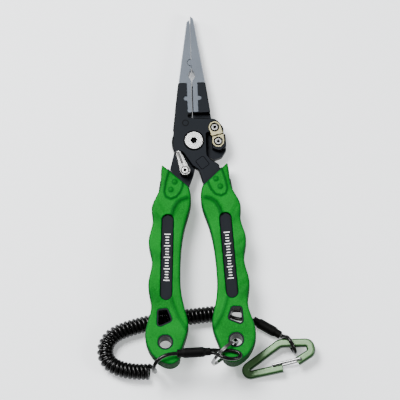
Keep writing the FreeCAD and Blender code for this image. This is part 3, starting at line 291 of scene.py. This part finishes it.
strand_gap = Vector((0, 0.00107, -0.00064))      # half the step between two strands in a sleeve
sleeve_in = ring_sleeve_ends[0].lerp(ring_sleeve_ends[1], 0.40)
clip_in = clip_sleeve_ends[1].lerp(clip_sleeve_ends[0], 0.45)
clip_gap = Vector((0, 0, 0.00125))
route = ([sleeve_in - strand_gap] + [Vector(p) for p in ring_loop]
         + [sleeve_in + strand_gap * 0.8, ring_sleeve_ends[0].lerp(ring_sleeve_ends[1], 0.75)]
         + [Vector(p) for p in lead] + helix + [Vector(p) for p in tail]
         + [clip_sleeve_ends[0].lerp(clip_sleeve_ends[1], 0.2), clip_in + clip_gap * 0.8]
         + [Vector(p) for p in clip_loop] + [clip_in - clip_gap])
cable = open_spline("tether_cable", route, CABLE / 2)
cable_length = line_of(route, 12)[1][-1]
print("tether length", round(cable_length, 4), "turns", turns)

coating = Finish("cable_coating", Base_Color=grey(0.0015), Roughness=0.2, Specular_IOR_Level=0.16,
                 Coat_Weight=0.12, Coat_Roughness=0.08)
coating.bump(coating.noise(900.0, 3.0), 0.00002, 0.5)
coating.to("Roughness", coating.noise(160.0, 3.0) * 0.14 + 0.20)
cable.data.materials.append(coating.material)
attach(cable, "upper_half")
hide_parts("coil", "lead_cable", "ring_loop", "tail_cable", "clip_loop")


# ---- Shrink sleeves and crimps ------------------------------------------------------------
# Each end loop is closed by an aluminium ferrule under a piece of black shrink tube,
# heated until it grips the cable, which leaves it matt and slightly rippled.
def dress(finish, *nodes):
    """Give CAD nodes a finish."""
    for node in nodes:
        mesh = bpy.data.objects[node].data
        mesh.materials.clear()
        mesh.materials.append(finish.material)


shrink = Finish("shrink_tube", Base_Color=grey(0.0015), Roughness=0.5, Specular_IOR_Level=0.06)
shrink.to("Roughness", shrink.noise(240.0, 3.0) * 0.22 + 0.44)
shrink.bump(shrink.noise(420.0, 4.0), 0.00015, 0.7)
dress(shrink, "ring_sleeve", "clip_sleeve")
ferrule = Finish("ferrule_metal", Base_Color=grey(0.55), Metallic=1.0, Roughness=0.35)
ferrule.bump(ferrule.noise(700.0), 0.00003)
dress(ferrule, "ring_crimp", "clip_crimp")


# ---- Frames -------------------------------------------------------------------------------
# The two halves are milled from aluminium plate, bead blasted and anodised near black; the
# chamfers and walls, left smooth by the cutter, come out glossier, with painted shade on them.
def centre_of(node):
    corners = [v.co for v in bpy.data.objects[node].data.vertices]
    return sum(corners, Vector()) / len(corners)


def ring(finish, centre, low, high):
    """1 between two radii about an axis, with soft edges."""
    reach = finish.off_axis(centre)
    return reach.ramp(low - 0.0001, low + 0.0001) * reach.ramp(high + 0.0001, high - 0.0001)


anodised = Finish("dark_anodising", Roughness=0.45, Specular_IOR_Level=0.03)
flat = anodised.facing().ramp(0.93, 0.985)
blast = anodised.noise(2200.0, 3.0)
tone = anodised.mix(anodised.noise(60.0, 3.0), (0.0055, 0.0067, 0.0086, 1), (0.0080, 0.0094, 0.0118, 1))
tone = anodised.mix(blast * 0.4, tone, (0.015, 0.017, 0.021, 1))
# Painted shade: the chamfers and walls are painted near black.
tone = anodised.mix(flat, (0.0002, 0.0002, 0.0003, 1), tone)
# Painted shade: the recess round the pivot head and a ring round the stop pin are painted near black.
seat = anodised.off_axis(centre_of("pivot_screw")).ramp(0.00675, 0.00655)
outline = ring(anodised, centre_of("stop_pin"), 0.0016, 0.0021)
anodised.to("Base Color", anodised.mix((seat + outline).ramp(0.0, 1.0), tone, (0.0002, 0.0002, 0.0003, 1)))
anodised.to("Roughness", flat * 0.26 + blast * 0.10 + 0.20)
anodised.bump(blast, 0.00004, 0.6)
dress(anodised, "upper_frame", "lower_frame", "stop_pin", "cover_plate")


# ---- Jaws ---------------------------------------------------------------------------------
# Bead-blasted stainless inserts; a painted highlight makes the chamfers and walls bright.
blasted = Finish("blasted_jaw_steel", Metallic=0.6, Roughness=0.46, Specular_IOR_Level=0.2)
flat = blasted.facing().ramp(0.93, 0.985)
speck = blasted.noise(1100.0, 4.0)
tone = blasted.mix(blasted.noise(70.0, 3.0), (0.040, 0.048, 0.060, 1), (0.060, 0.071, 0.087, 1))
tone = blasted.mix(speck * 0.4, tone, (0.12, 0.135, 0.155, 1))
# Painted highlight: the chamfers and walls are painted a light grey.
blasted.to("Base Color", blasted.mix(flat, (0.30, 0.32, 0.35, 1), tone))
blasted.to("Roughness", flat * 0.16 + speck * 0.14 + 0.26)
blasted.bump(speck, 0.00005, 0.7)
dress(blasted, "left_jaw", "right_jaw")


# ---- Cutters ------------------------------------------------------------------------------
# Hard inserts with a pale gold coating; painted shade darkens their edges and walls and
# paints the sunk seats of their screws near black.
def below_face(finish, node, sink, side=1.0):
    """1 deeper than sink under a node's own face, 0 above; side is -1 where the face looks down."""
    face = max(UP.dot(v.co) * side for v in bpy.data.objects[node].data.vertices)
    depth = face - finish.along_up(finish.place()) * side
    return depth.ramp(sink, sink + 0.00012)


for node in ("upper_cutter", "lower_cutter"):
    gold = Finish(node + "_gold", Metallic=0.8, Roughness=0.34)
    flat = gold.facing().ramp(0.90, 0.98)
    tone = gold.mix(gold.noise(240.0, 3.0), (0.165, 0.150, 0.080, 1), (0.24, 0.22, 0.13, 1))
    # Painted shade: the edges and walls are painted dark.
    tone = gold.mix(flat, (0.05, 0.04, 0.02, 1), tone)
    # Painted shade: everything deeper than 0.55 mm under the face, the screws' sunk seats, is painted near
    # black.
    gold.to("Base Color", gold.mix(below_face(gold, node, 0.00055), tone, (0.003, 0.003, 0.003, 1)))
    gold.to("Roughness", gold.noise(1400.0, 2.0) * 0.16 + 0.26)
    gold.bump(gold.noise(1800.0, 2.0), 0.00003, 0.5)
    dress(gold, node)


# ---- Pivot and screws ---------------------------------------------------------------------
# Turned steel with hex sockets. The faces are bright and show fine turning rings; the sockets
# and the rims down in their seats are painted near black as painted shade.
for node, bright, side in (
        ("pivot_screw", 0.30, 1.0),
        ("upper_cutter_screw", 0.19, 1.0),
        ("lower_cutter_screw", 0.19, 1.0),
        ("lock_screw", 0.30, 1.0),
        ("pivot_nut", 0.34, -1.0)):
    steel = Finish(node + "_steel", Metallic=1.0, Roughness=0.22)
    # Painted shade: everything deeper than 0.3 mm under the face, in the sockets and seats, is painted near
    # black.
    deep = below_face(steel, node, 0.0003, side)
    rings = (steel.off_axis(centre_of(node)) * 9000.0).maths("SINE") * 0.5 + 0.5
    tone = steel.mix(steel.noise(130.0, 3.0), grey(bright), grey(bright * 0.8))
    steel.to("Base Color", steel.mix(deep, tone, grey(0.002)))
    steel.to("Roughness", deep * 0.25 + steel.noise(900.0, 2.0) * 0.10 + 0.22)
    steel.bump(rings, 0.000012, 0.6)
    dress(steel, node)
plain_steel = Finish("plain_steel", Metallic=1.0, Roughness=0.34)
plain_steel.to("Base Color", plain_steel.mix(plain_steel.noise(120.0, 3.0), grey(0.20), grey(0.30)))
plain_steel.to("Roughness", plain_steel.noise(900.0, 3.0) * 0.16 + 0.28)
dress(plain_steel, "left_jaw_screws", "right_jaw_screws", "opening_spring", "spring_pin")
blackened = Finish("blackened_washer", Roughness=0.45, Specular_IOR_Level=0.03)
blackened.to("Base Color", blackened.mix(blackened.noise(300.0), grey(0.0008), grey(0.002)))
dress(blackened, "front_washer", "rear_washer", "thrust_washer", "lock_washer")


# ---- Lock lever, split ring and wire gate ---------------------------------------------------
# Pressed plate and drawn wire, buffed bright; the buffing leaves fine lines along the lever.
buffed = Finish("buffed_steel", Metallic=1.0, Roughness=0.25)
LEVER_LEAN = math.radians(24)
across_lever = (math.cos(LEVER_LEAN), math.sin(LEVER_LEAN), 0.0)
stripe = buffed.node("ShaderNodeVectorMath", {0: buffed.place(), 1: across_lever}, output=1,
                     operation="DOT_PRODUCT")
lines = buffed.node("ShaderNodeTexNoise", {"W": stripe, "Scale": 1500.0, "Detail": 3.0},
                    noise_dimensions="1D")
tone = buffed.mix(lines.ramp(0.36, 0.60), grey(0.04), grey(0.28))
# Painted shade: the lever's edges and walls are painted darker.
tone = buffed.mix(buffed.facing().ramp(0.90, 0.98), grey(0.05), tone)
# Painted shade: a ring round the lock screw's head and everything deeper than 0.5 mm under the lever's face
# are painted near black.
round_screw = ring(buffed, centre_of("lock_screw"), 0.0022, 0.0027)
dark = (below_face(buffed, "lock_lever", 0.0005) + round_screw).ramp(0.0, 1.0)
buffed.to("Base Color", buffed.mix(dark, tone, grey(0.004)))
buffed.to("Roughness", lines * 0.12 + 0.20)
buffed.bump(lines, 0.00005, 0.7)
dress(buffed, "lock_lever")
drawn = Finish("bright_drawn_wire", Metallic=1.0, Roughness=0.18)
drawn.to("Base Color", drawn.mix(drawn.noise(160.0, 3.0), grey(0.16), grey(0.26)))
drawn.to("Roughness", drawn.noise(700.0, 3.0) * 0.10 + 0.14)
dress(drawn, "split_ring", "clip_gate")


# ---- Grips --------------------------------------------------------------------------------
# Green rubber moulded over the handles: swells for three fingers, a raised pad with two
# dimples at the top, a thumb rest, and rounded lower ends. Painted shade darkens the moulded grooves.
VOXEL = 0.00045


def bell(distance, width):
    return math.exp(-(distance / width) ** 2)


def to_line(x, y, points):
    """Distance from a point to a run of straight lines."""
    best = 1e9
    for (ax, ay), (bx, by) in zip(points, points[1:]):
        dx, dy = bx - ax, by - ay
        share = min(1.0, max(0.0, ((x - ax) * dx + (y - ay) * dy) / (dx * dx + dy * dy)))
        best = min(best, math.hypot(x - ax - share * dx, y - ay - share * dy))
    return best


PAD_EDGE = [(8.2, -25.8), (8.4, -28.6), (10.0, -32.2), (12.6, -35.2), (16.2, -36.4),
            (19.2, -34.8), (20.2, -31.4), (19.0, -25.0), (17.0, -18.6)]
DIMPLES = [(13.2, -25.2), (15.8, -30.3)]
THUMB_REST = [(6.2, -38.4), (9.4, -39.4), (12.4, -41.6), (14.6, -45.4), (15.8, -49.6)]
END_CREASE = [(18.4, -102.6), (16.4, -109.6), (14.0, -116.4), (9.2, -124.6)]
FINGER_VALLEYS = [[(28.6, -47.6), (22.4, -53.4)], [(30.4, -72.0), (25.6, -76.4)],
                  [(31.2, -99.0), (26.6, -104.6)]]
FINGER_RIDGES = [[(25.6, -40.6), (21.0, -50.0)], [(30.6, -62.4), (25.0, -68.0)],
                 [(32.0, -90.0), (26.6, -95.0)]]
END_TAPER_FROM = -138.0         # the broad faces fall away from here to the handle's end


def dressing(x, y, drop):
    """Millimetres the broad faces stand out, and how much painted shade lies in their grooves.

    x is measured outwards from the middle line; drop is how far the pad sits below its drawing.
    """
    depth = 0.0
    groove = bell(to_line(x, y + drop, PAD_EDGE), 0.55)
    depth -= 0.85 * groove
    for dx, dy in DIMPLES:
        reach = math.hypot(x - dx, y + drop - dy)
        depth -= 0.9 * bell(reach, 1.25)
        groove = max(groove, 0.8 * bell(reach - 1.5, 0.45), 0.35 * bell(reach, 1.2))
    thumb = to_line(x, y, THUMB_REST)
    depth -= 1.15 * bell(thumb, 1.25)
    crease = to_line(x, y, END_CREASE)
    depth -= 0.75 * bell(crease, 1.1)
    groove = max(groove, 0.85 * bell(thumb, 1.1), 0.55 * bell(crease, 0.9))
    for valley in FINGER_VALLEYS:
        reach = bell(to_line(x, y, valley), 2.6)
        depth -= 0.55 * reach
        groove = max(groove, 0.3 * reach)
    for ridge in FINGER_RIDGES:
        depth += 0.5 * bell(to_line(x, y, ridge), 2.2)
    if y < END_TAPER_FROM:
        depth -= 1.2 * min(1.0, (END_TAPER_FROM - y) / 9.0) ** 1.5
    return depth, groove


rubber = Finish("green_rubber", Roughness=0.6, Specular_IOR_Level=0.04)
grain = rubber.noise(1700.0, 3.0)
cloud = rubber.noise(48.0, 3.0)
tone = rubber.mix(cloud.ramp(0.35, 0.65), (0.0, 0.088, 0.006, 1), (0.0, 0.132, 0.011, 1))
tone = rubber.mix(grain.ramp(0.4, 0.75) * 0.6, tone, (0.0, 0.21, 0.020, 1))
# Painted shade: the grips' side walls are painted a darker green than the broad faces.
tone = rubber.mix(rubber.facing().ramp(0.96, 0.25), tone, (0.0, 0.025, 0.003, 1))
# Painted shade in the moulded grooves, read from the groove attribute.
groove_shade = rubber.node("ShaderNodeAttribute", output=2, attribute_name="groove")
rubber.to("Base Color", rubber.mix(groove_shade * 0.8, tone, (0.0, 0.020, 0.002, 1)))
rubber.to("Roughness", grain * 0.2 + 0.5)
rubber.bump(grain, 0.00007, 0.7)

to_tool = TOOL.inverted()
for side, node, body, drop in (
        (1.0, "right_grip", "upper_half", 1.3),
        (-1.0, "left_grip", "lower_half", 2.4)):
    mesh = bpy.data.objects[node].data.copy()
    grip = bpy.data.objects.new(node + "_rubber", mesh)
    bpy.context.collection.objects.link(grip)
    form = bmesh.new()
    form.from_mesh(mesh)
    bmesh.ops.remove_doubles(form, verts=form.verts, dist=1e-6)
    form.to_mesh(mesh)
    form.free()
    mesh.materials.clear()
    remesh = grip.modifiers.new("even_skin", "REMESH")
    remesh.mode = "VOXEL"
    remesh.voxel_size = VOXEL
    soften = grip.modifiers.new("soften", "SMOOTH")
    soften.factor = 0.5
    soften.iterations = 4
    bpy.context.view_layer.update()
    skin = bpy.data.meshes.new_from_object(grip.evaluated_get(bpy.context.evaluated_depsgraph_get()))
    grip.modifiers.clear()
    grip.data = skin
    # Share of painted shade in the grooves, stored per vertex.
    groove_shade_layer = skin.attributes.new("groove", "FLOAT", "POINT")
    for vertex in skin.vertices:
        at = to_tool @ vertex.co
        x, y, w = at.x * 1000 * side, at.y * 1000, at.z * 1000
        share = min(1.0, max(0.0, (abs(w) - 2.0) / 3.0))
        depth, groove = dressing(x, y, drop)
        w += math.copysign(depth * share, w)
        groove_shade_layer.data[vertex.index].value = groove * share
        vertex.co = TOOL @ Vector((at.x, at.y, w / 1000))
    skin.materials.append(rubber.material)
    for polygon in skin.polygons:
        polygon.use_smooth = True
    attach(grip, body)
    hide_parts(node)


# ---- Name-panel scales ----------------------------------------------------------------------
# The black panels in the grips' slots carry a pad-printed white scale along their middle:
# plain ticks, with a longer one every fourth.
ink = Finish("white_ink", Base_Color=grey(0.78), Roughness=0.6)
ink.to("Roughness", ink.noise(1500.0) * 0.2 + 0.5)
ticks = bpy.data.node_groups.new("printed_ticks", "GeometryNodeTree")
ticks.interface.new_socket("Geometry", in_out="OUTPUT", socket_type="NodeSocketGeometry")
tick_inputs = {}
for name in ("Count", "Spacing", "Stroke", "Short", "Long", "Every", "Thickness"):
    kind = "NodeSocketInt" if name == "Count" else "NodeSocketFloat"
    tick_inputs[name] = ticks.interface.new_socket(name, in_out="INPUT", socket_type=kind).identifier
given = ticks.nodes.new("NodeGroupInput")


def tick_node(kind, sockets, **settings):
    node = ticks.nodes.new(kind)
    for key, value in settings.items():
        setattr(node, key, value)
    for key, value in sockets.items():
        if isinstance(value, bpy.types.NodeSocket):
            ticks.links.new(value, node.inputs[key])
        else:
            node.inputs[key].default_value = value
    return node


row_step = tick_node("ShaderNodeCombineXYZ", {"Y": given.outputs["Spacing"]})
row = tick_node("GeometryNodeMeshLine",
                {"Count": given.outputs["Count"], "Offset": row_step.outputs[0]}, mode="OFFSET")
index = tick_node("GeometryNodeInputIndex", {})
turn = tick_node("ShaderNodeMath", {0: index.outputs[0], 1: given.outputs["Every"]},
                 operation="MODULO")
is_long = tick_node("ShaderNodeMath", {0: turn.outputs[0], 1: 0.5}, operation="LESS_THAN")
extra = tick_node("ShaderNodeMath", {0: given.outputs["Long"], 1: given.outputs["Short"]},
                  operation="SUBTRACT")
length = tick_node("ShaderNodeMath",
                   {0: extra.outputs[0], 1: is_long.outputs[0], 2: given.outputs["Short"]},
                   operation="MULTIPLY_ADD")
bar_size = tick_node("ShaderNodeCombineXYZ", {"X": length.outputs[0], "Y": given.outputs["Stroke"],
                                              "Z": given.outputs["Thickness"]})
bar = tick_node("GeometryNodeMeshCube", {"Size": (1.0, 1.0, 1.0)})
placed = tick_node("GeometryNodeInstanceOnPoints", {"Points": row.outputs[0], "Instance": bar.outputs[0],
                                                    "Scale": bar_size.outputs[0]})
real = tick_node("GeometryNodeRealizeInstances", {"Geometry": placed.outputs[0]})
inked = tick_node("GeometryNodeSetMaterial", {"Geometry": real.outputs[0], "Material": ink.material})
done = ticks.nodes.new("NodeGroupOutput")
ticks.links.new(inked.outputs[0], done.inputs[0])

scale_blank = bpy.data.objects.new("scale_blank", bpy.data.meshes.new("scale_blank"))
bpy.context.collection.objects.link(scale_blank)
maker = scale_blank.modifiers.new("ticks", "NODES")
maker.node_group = ticks
for name, value in (("Count", 17), ("Spacing", 0.0019), ("Stroke", 0.00055), ("Short", 0.0022),
                    ("Long", 0.0038), ("Every", 4.0), ("Thickness", 0.0001)):
    maker[tick_inputs[name]] = value
bpy.context.view_layer.update()
printed = bpy.data.meshes.new_from_object(scale_blank.evaluated_get(bpy.context.evaluated_depsgraph_get()))
bpy.data.objects.remove(scale_blank)

SLOT_TOP = Vector((0.0184, -0.0527, 0.0))
SLOT_END = Vector((0.0210, -0.1015, 0.0))
PANEL_HEIGHT = 0.0052           # the panels' faces, from the tool's middle plane
SCALE_START = 0.19              # share of the slot's length below the first tick
for side, name, body in ((1.0, "right_scale", "upper_half"), (-1.0, "left_scale", "lower_half")):
    run = SLOT_TOP - SLOT_END
    start = SLOT_END + run * SCALE_START
    lean = math.atan2(-run.x * side, run.y)
    form = bmesh.new()
    for face_side in (1.0, -1.0):
        spot_on = Matrix.Translation((start.x * side, start.y, PANEL_HEIGHT * face_side))
        copy = printed.copy()
        copy.transform(TOOL @ spot_on @ Matrix.Rotation(lean, 4, "Z"))
        form.from_mesh(copy)
        bpy.data.meshes.remove(copy)
    scale_mesh = bpy.data.meshes.new(name)
    form.to_mesh(scale_mesh)
    form.free()
    scale_mesh.materials.append(ink.material)
    panel = bpy.data.objects.new(name, scale_mesh)
    bpy.context.collection.objects.link(panel)
    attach(panel, body)


# ---- Belt clip ------------------------------------------------------------------------------
# Forged aluminium bar, anodised green; the sides are painted a darker green than the broad faces, as painted
# shade.
dull_green = Finish("dull_green_anodising", Metallic=0.2, Roughness=0.34, Specular_IOR_Level=0.25)
flat = dull_green.facing().ramp(0.80, 0.97)
tone = dull_green.mix(dull_green.noise(90.0, 3.0), (0.050, 0.115, 0.042, 1), (0.095, 0.170, 0.080, 1))
# Painted shade: the sides are painted dark green.
dull_green.to("Base Color", dull_green.mix(flat, (0.0015, 0.030, 0.003, 1), tone))
dull_green.to("Roughness", dull_green.noise(900.0, 3.0) * 0.14 + 0.24)
dull_green.bump(dull_green.noise(1800.0, 2.0), 0.00002, 0.5)
dress(dull_green, "belt_clip")


def plain(box):
    return [[float(v) for v in corner] for corner in box]
